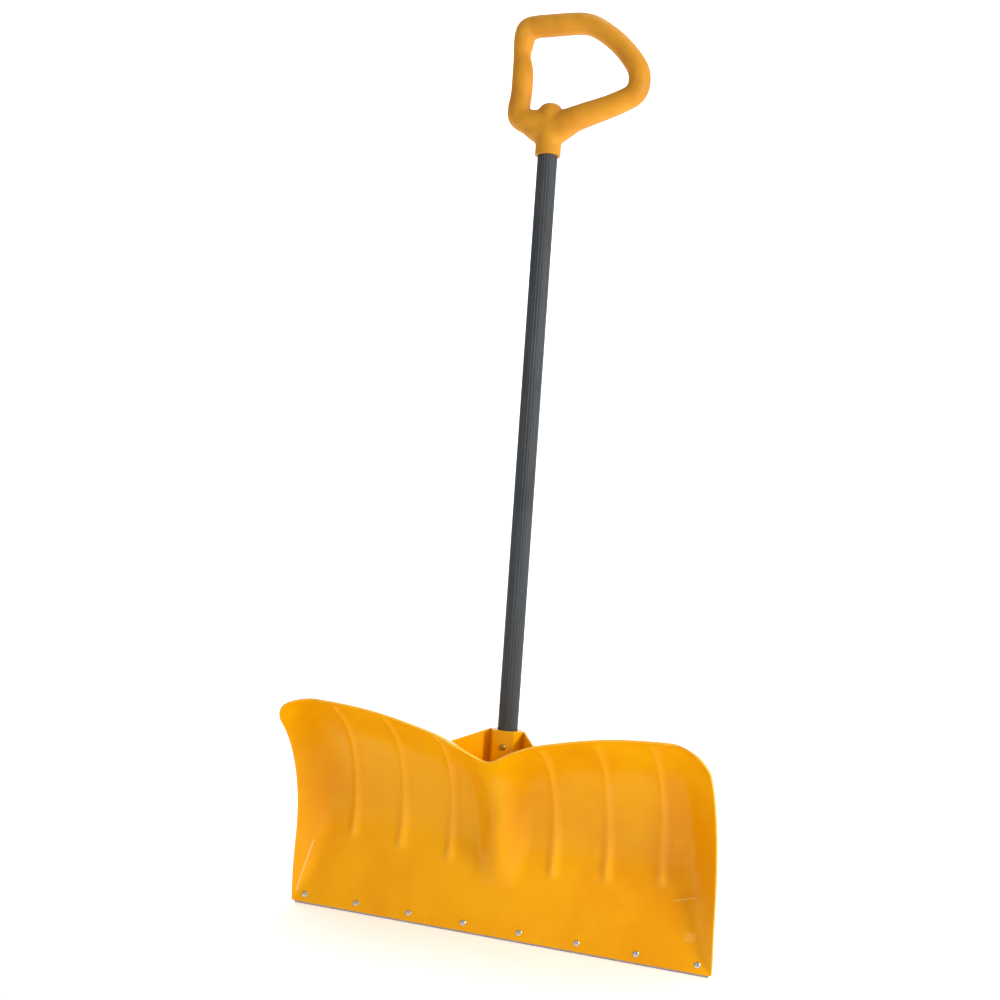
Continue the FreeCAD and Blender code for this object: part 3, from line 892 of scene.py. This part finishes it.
roughness = 0.2 + cloud * 0.08 + scuffs * low * 0.1 + grit * 0.04 + rim_highlight_and_wear * 0.06


def highlight_line_mask(start, end, half):
    """A thin straight painted highlight line on the front, between two points given as (x, z)."""
    run = math.dist(start, end)
    away_x, away_z = (end[1] - start[1]) / run, (start[0] - end[0]) / run
    across = plastic.axis("X") * away_x + plastic.axis("Z") * away_z
    off = (across - (start[0] * away_x + start[1] * away_z)).absolute()
    middle = (plastic.axis("Z") - (start[1] + end[1]) / 2).absolute()
    reach = abs(end[1] - start[1]) / 2
    along_x = (plastic.axis("X") - (start[0] + end[0]) / 2).absolute()
    reach_x = abs(end[0] - start[0]) / 2
    inside = (1 - plastic.between(middle, reach, reach + 0.004)) * (
        1 - plastic.between(along_x, reach_x, reach_x + 0.004)
    )
    return (1 - plastic.between(off, half * 0.4, half)) * inside


# Where the painted highlight runs along each lower corner fold: start (x, z), end (x, z), half width.
LEFT_FOLD_HIGHLIGHT = ((-0.2980, 0.0190), (-0.2830, 0.0880), 0.0009)
RIGHT_FOLD_HIGHLIGHT = ((0.2480, 0.0860), (0.2720, 0.0930), 0.0008)
GATE_X, GATE_Z = 0.272, 0.045

normal = plastic.node("ShaderNodeNewGeometry", out="Normal")
facing = plastic.node("ShaderNodeSeparateXYZ", {}, {0: normal}, out="Y")
front = 1 - plastic.between(facing, -0.3, 0.0)
painted_crease_highlight = (highlight_line_mask(*LEFT_FOLD_HIGHLIGHT) * 0.8 + highlight_line_mask(*RIGHT_FOLD_HIGHLIGHT) * 0.6) * front
gate_x = (plastic.axis("X") - GATE_X).absolute()
gate_z = (plastic.axis("Z") - GATE_Z).absolute()
gate = 1 - plastic.between(gate_x, 0.0070, 0.0078)
gate = gate * (1 - plastic.between(gate_z, 0.0055, 0.0062))
# Painted highlight: the ribs are made paler (FFB92E) on the front.
colour = plastic.mix(colour, shade("FFB92E"), plastic.attribute("raised") * front * 0.45)
# Painted highlight: a pale line (FFE0A0) along the fold at each lower corner.
colour = plastic.mix(colour, shade("FFE0A0"), painted_crease_highlight * 0.75)
colour = plastic.mix(colour, shade("FFC25A"), gate * front * 0.3)
wave = plastic.bump(plastic.noise(18, 2), 0.12, 0.003)
peel = plastic.bump(plastic.noise(900, 2), 0.05, 0.0003, wave)
peel = plastic.bump(gate * front + painted_crease_highlight, 0.35, 0.0003, peel)
scratch = plastic.bump(scuffs * low, 0.12, 0.0002, peel)
coat = 0.05 + cloud * 0.05
plastic.show(Base_Color=colour, Roughness=roughness, Normal=scratch, Coat_Weight=coat)
plastic.on(blade)

# %% [markdown]
# ## Grip plastic
# The grip is the same colour with a satin texture, so the hand doesn't slip. A fine even grain
# dulls it, a thin parting line runs round the loop where the two mould halves met, and handling
# has polished the top.

# %% Grip plastic
satin = Finish("grip plastic", Specular_IOR_Level=0.3)
drift = satin.noise(22, 4)
grain = satin.noise(1500, 2)
line = 1 - satin.between((satin.axis("Y") - AXIS_Y).absolute(), 0.00015, 0.0005)
above_collar = satin.between(satin.axis("Z"), COLLAR_FOOT + 0.02, COLLAR_FOOT + 0.03)
handled = satin.between(satin.axis("Z"), 1.235, 1.275) * satin.between(satin.noise(35, 3), 0.4, 0.6)
colour = satin.mix(shade("D6911C"), shade("C58216"), satin.between(drift, 0.35, 0.68))
colour = satin.mix(colour, shade("E0A030"), handled * 0.35)
colour = satin.mix(colour, shade("AE7012"), line * above_collar * 0.35)
roughness = 0.46 + grain * 0.12 - handled * 0.09 + drift * 0.05
skin = satin.bump(grain, 0.28, 0.0003)
seam = satin.bump(line * above_collar, 0.5, 0.0003, skin)
satin.show(Base_Color=colour, Roughness=roughness, Normal=seam)
satin.on(grip)

# %% [markdown]
# ## Shaft resin
# The outer tube is dark grey resin drawn through a die, so its marks all run lengthways. Long
# thin streaks change its colour and gloss, over the flutes that the CAD model already has.

# %% Shaft resin
resin = Finish("shaft resin", Specular_IOR_Level=0.3)
streaks = resin.noise(160, 5, stretch=(9, 9, 0.06))
smudge = resin.noise(14, 4, stretch=(2, 2, 1))
ridge_dust = resin.between(resin.noise(500, 3, stretch=(1, 1, 0.25)), 0.55, 0.7)
colour = resin.mix(shade("33373A"), shade("45494C"), resin.between(streaks, 0.35, 0.65))
colour = resin.mix(colour, shade("2B2E31"), resin.between(smudge, 0.45, 0.7) * 0.45)
colour = resin.mix(colour, shade("6A6E71"), ridge_dust * 0.12)
roughness = 0.34 + streaks * 0.2 + smudge * 0.08
drawn = resin.bump(streaks, 0.22, 0.0003)
resin.show(Base_Color=colour, Roughness=roughness, Normal=drawn)
resin.on(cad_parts["shaft_sleeve"])

# %% [markdown]
# ## Steels
# The strip is galvanised, so zinc crystals show as a faint mosaic, with brighter scrapes. Its
# lowest edge is painted dark as shade where it meets the floor, and is rougher from scraping.
# The rivets are bright and smooth, the screws yellow zinc plated, and the tube inside the shaft
# is plain drawn steel.

# %% Steels
zinc = Finish("galvanised strip", Metallic=0.5)
spangle = zinc.between(zinc.cells(260), 0.02, 0.25)
scrape = zinc.between(zinc.noise(90, 5, stretch=(0.25, 4, 9)), 0.5, 0.68)
# Painted shade: the lowest millimetre or so is darkened (4B4742) where the strip meets the floor; it is
# also made rougher from scraping.
edge_shade_and_scrape = 1 - zinc.between(zinc.axis("Z"), 0.0004, 0.0014)
colour = zinc.mix(shade("9DA0A3"), shade("B3B6B8"), spangle)
colour = zinc.mix(colour, shade("B4B7B9"), scrape * 0.4)
colour = zinc.mix(colour, shade("4B4742"), edge_shade_and_scrape * 0.35)
roughness = 0.36 + spangle * 0.08 + edge_shade_and_scrape * 0.2 - scrape * 0.1
dents = zinc.bump(scrape + spangle * 0.3, 0.2, 0.0002)
zinc.show(Base_Color=colour, Roughness=roughness, Normal=dents)
zinc.on(strip)


def bright_steel(name, light, dark, rough, stretch, pieces):
    steel = Finish(name, Metallic=1.0)
    marks = steel.noise(700, 4, stretch=stretch)
    stain = steel.between(steel.noise(240, 3), 0.5, 0.7)
    tone = steel.mix(shade(light), shade(dark), steel.between(marks, 0.4, 0.65) * 0.6)
    tone = steel.mix(tone, shade("6E6A62"), stain * 0.3)
    roughness = rough + marks * 0.12 + stain * 0.1
    steel.show(Base_Color=tone, Roughness=roughness, Normal=steel.bump(marks, 0.12, 0.0001))
    steel.on(*pieces)


bright_steel("rivet steel", "D5D7D9", "A4A6A8", 0.16, (1, 1, 1), rivets)
bright_steel("screw zinc", "C2A45C", "94783C", 0.34, (1, 1, 1), (screw, grip_screw))
bright_steel("core steel", "B4B6B8", "8C8E90", 0.3, (6, 6, 0.1), (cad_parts["shaft_core"],))

# %% [markdown]
# ## Camera
# The camera stands in front and to the right, a little above the blade, turned slightly about
# its own axis, so that the shovel leans in view.

# %% Camera
EYE = Vector((0.52475, -1.64196, 0.57855))
YAW, PITCH, ROLL = 0.32553, 0.012877, 0.069926
ahead = Vector((-math.sin(YAW) * math.cos(PITCH), math.cos(YAW) * math.cos(PITCH), math.sin(PITCH)))
level = Vector((math.cos(YAW), math.sin(YAW), 0))
upright = level.cross(ahead)
right = math.cos(ROLL) * level + math.sin(ROLL) * upright
up = math.cos(ROLL) * upright - math.sin(ROLL) * level
bpy.ops.object.select_all(action="DESELECT")
bpy.ops.object.camera_add(location=EYE)
camera = bpy.context.object
camera.matrix_world = Matrix.Translation(EYE) @ Matrix((right, up, -ahead)).transposed().to_4x4()
camera.data.sensor_width = 36
camera.data.lens = 45
bpy.context.scene.camera = camera
print("camera at", tuple(round(c, 3) for c in EYE))

# %% [markdown]
# ## Floor and light
# A pale sheet of paper sweeps up behind the shovel, so that no horizon shows from the front. A
# soft key stands on the right, a weak fill in front on the left and a lamp above. A large lamp
# whitens the paper behind, and the sky is even and pale.

# %% Floor and light
SWEEP_RADIUS = 1.2
STEPS = 16
BACK_HEIGHT = 5

bpy.ops.object.select_all(action="DESELECT")
bpy.ops.mesh.primitive_plane_add(size=1)
floor = named("studio_floor")
edit(floor)
bpy.ops.mesh.select_all(action="SELECT")
bpy.ops.transform.resize(value=(16, 9, 1))
bpy.ops.transform.translate(value=(0, -0.5, 0))
done(floor)
pick(floor, lambda at: at.y > 3.9, "EDGE")
bend = [math.radians(90) * step / STEPS for step in range(STEPS + 1)]
for start, end in zip(bend, bend[1:]):
    move_y = SWEEP_RADIUS * (math.sin(end) - math.sin(start))
    move_z = SWEEP_RADIUS * (math.cos(start) - math.cos(end))
    bpy.ops.mesh.extrude_region_move(TRANSFORM_OT_translate={"value": (0, move_y, move_z)})
bpy.ops.mesh.extrude_region_move(TRANSFORM_OT_translate={"value": (0, 0, BACK_HEIGHT)})
done(floor)
smooth(floor, 60)
paper = Finish("studio paper", Roughness=0.95, Specular_IOR_Level=0.1, Base_Color=shade("F8F8F8"))
paper.show(Emission_Color=shade("FFFFFF"), Emission_Strength=0.3)
paper.on(floor)


def softbox(name, at, aim, width, power):
    bpy.ops.object.select_all(action="DESELECT")
    bpy.ops.object.light_add(type="AREA", location=at)
    lamp = bpy.context.object
    lamp.name = name
    lamp.data.size = width
    lamp.data.energy = power
    lamp.rotation_mode = "QUATERNION"
    lamp.rotation_quaternion = (Vector(aim) - Vector(at)).to_track_quat("-Z", "Y")


softbox("key", (2.0, -0.75, 1.15), (0, 0, 0.2), 0.6, 34)
softbox("fill", (-1.0, -2.6, 1.5), (0, 0, 0.5), 1.0, 2.5)
softbox("top", (0.3, 0.2, 2.8), (0, 0, 0.5), 1.2, 11)
softbox("back wall", (-1.5, 1.6, 3.4), (-1.5, 5.2, 1.2), 6.0, 170)
sky = bpy.data.worlds.new("studio")
sky.use_nodes = True
sky.node_tree.nodes["Background"].inputs["Color"].default_value = (1, 1, 1, 1)
sky.node_tree.nodes["Background"].inputs["Strength"].default_value = 0.45
bpy.context.scene.world = sky
bpy.context.scene.view_settings.view_transform = "Standard"
print("floor:", faces(floor), "faces, four lamps")
